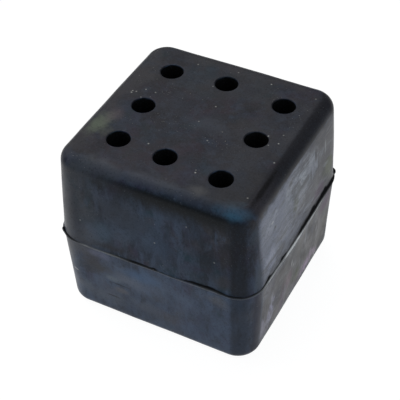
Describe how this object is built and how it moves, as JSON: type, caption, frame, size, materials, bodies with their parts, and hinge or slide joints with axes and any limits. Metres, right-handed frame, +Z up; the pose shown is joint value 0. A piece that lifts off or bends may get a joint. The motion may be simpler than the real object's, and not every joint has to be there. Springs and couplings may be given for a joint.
{
  "type": "rubber buffer",
  "caption": "Square moulded black rubber buffer block with drafted walls, rounded edges, a parting bead at mid height and a ring of blind holes in its top face.",
  "frame": {"origin": "middle of the block's footprint, on the plane that the underside rests on", "axes": "+Z up out of the face with the holes; +X and +Y square to the side walls"},
  "size_m": [0.0932, 0.0932, 0.0837],
  "materials": {
    "rubber": "semi-matt moulded black rubber with a faint grey bloom"
  },
  "bodies": {
    "root": {"rubber_block": "rubber"}
  },
  "joints": []
}
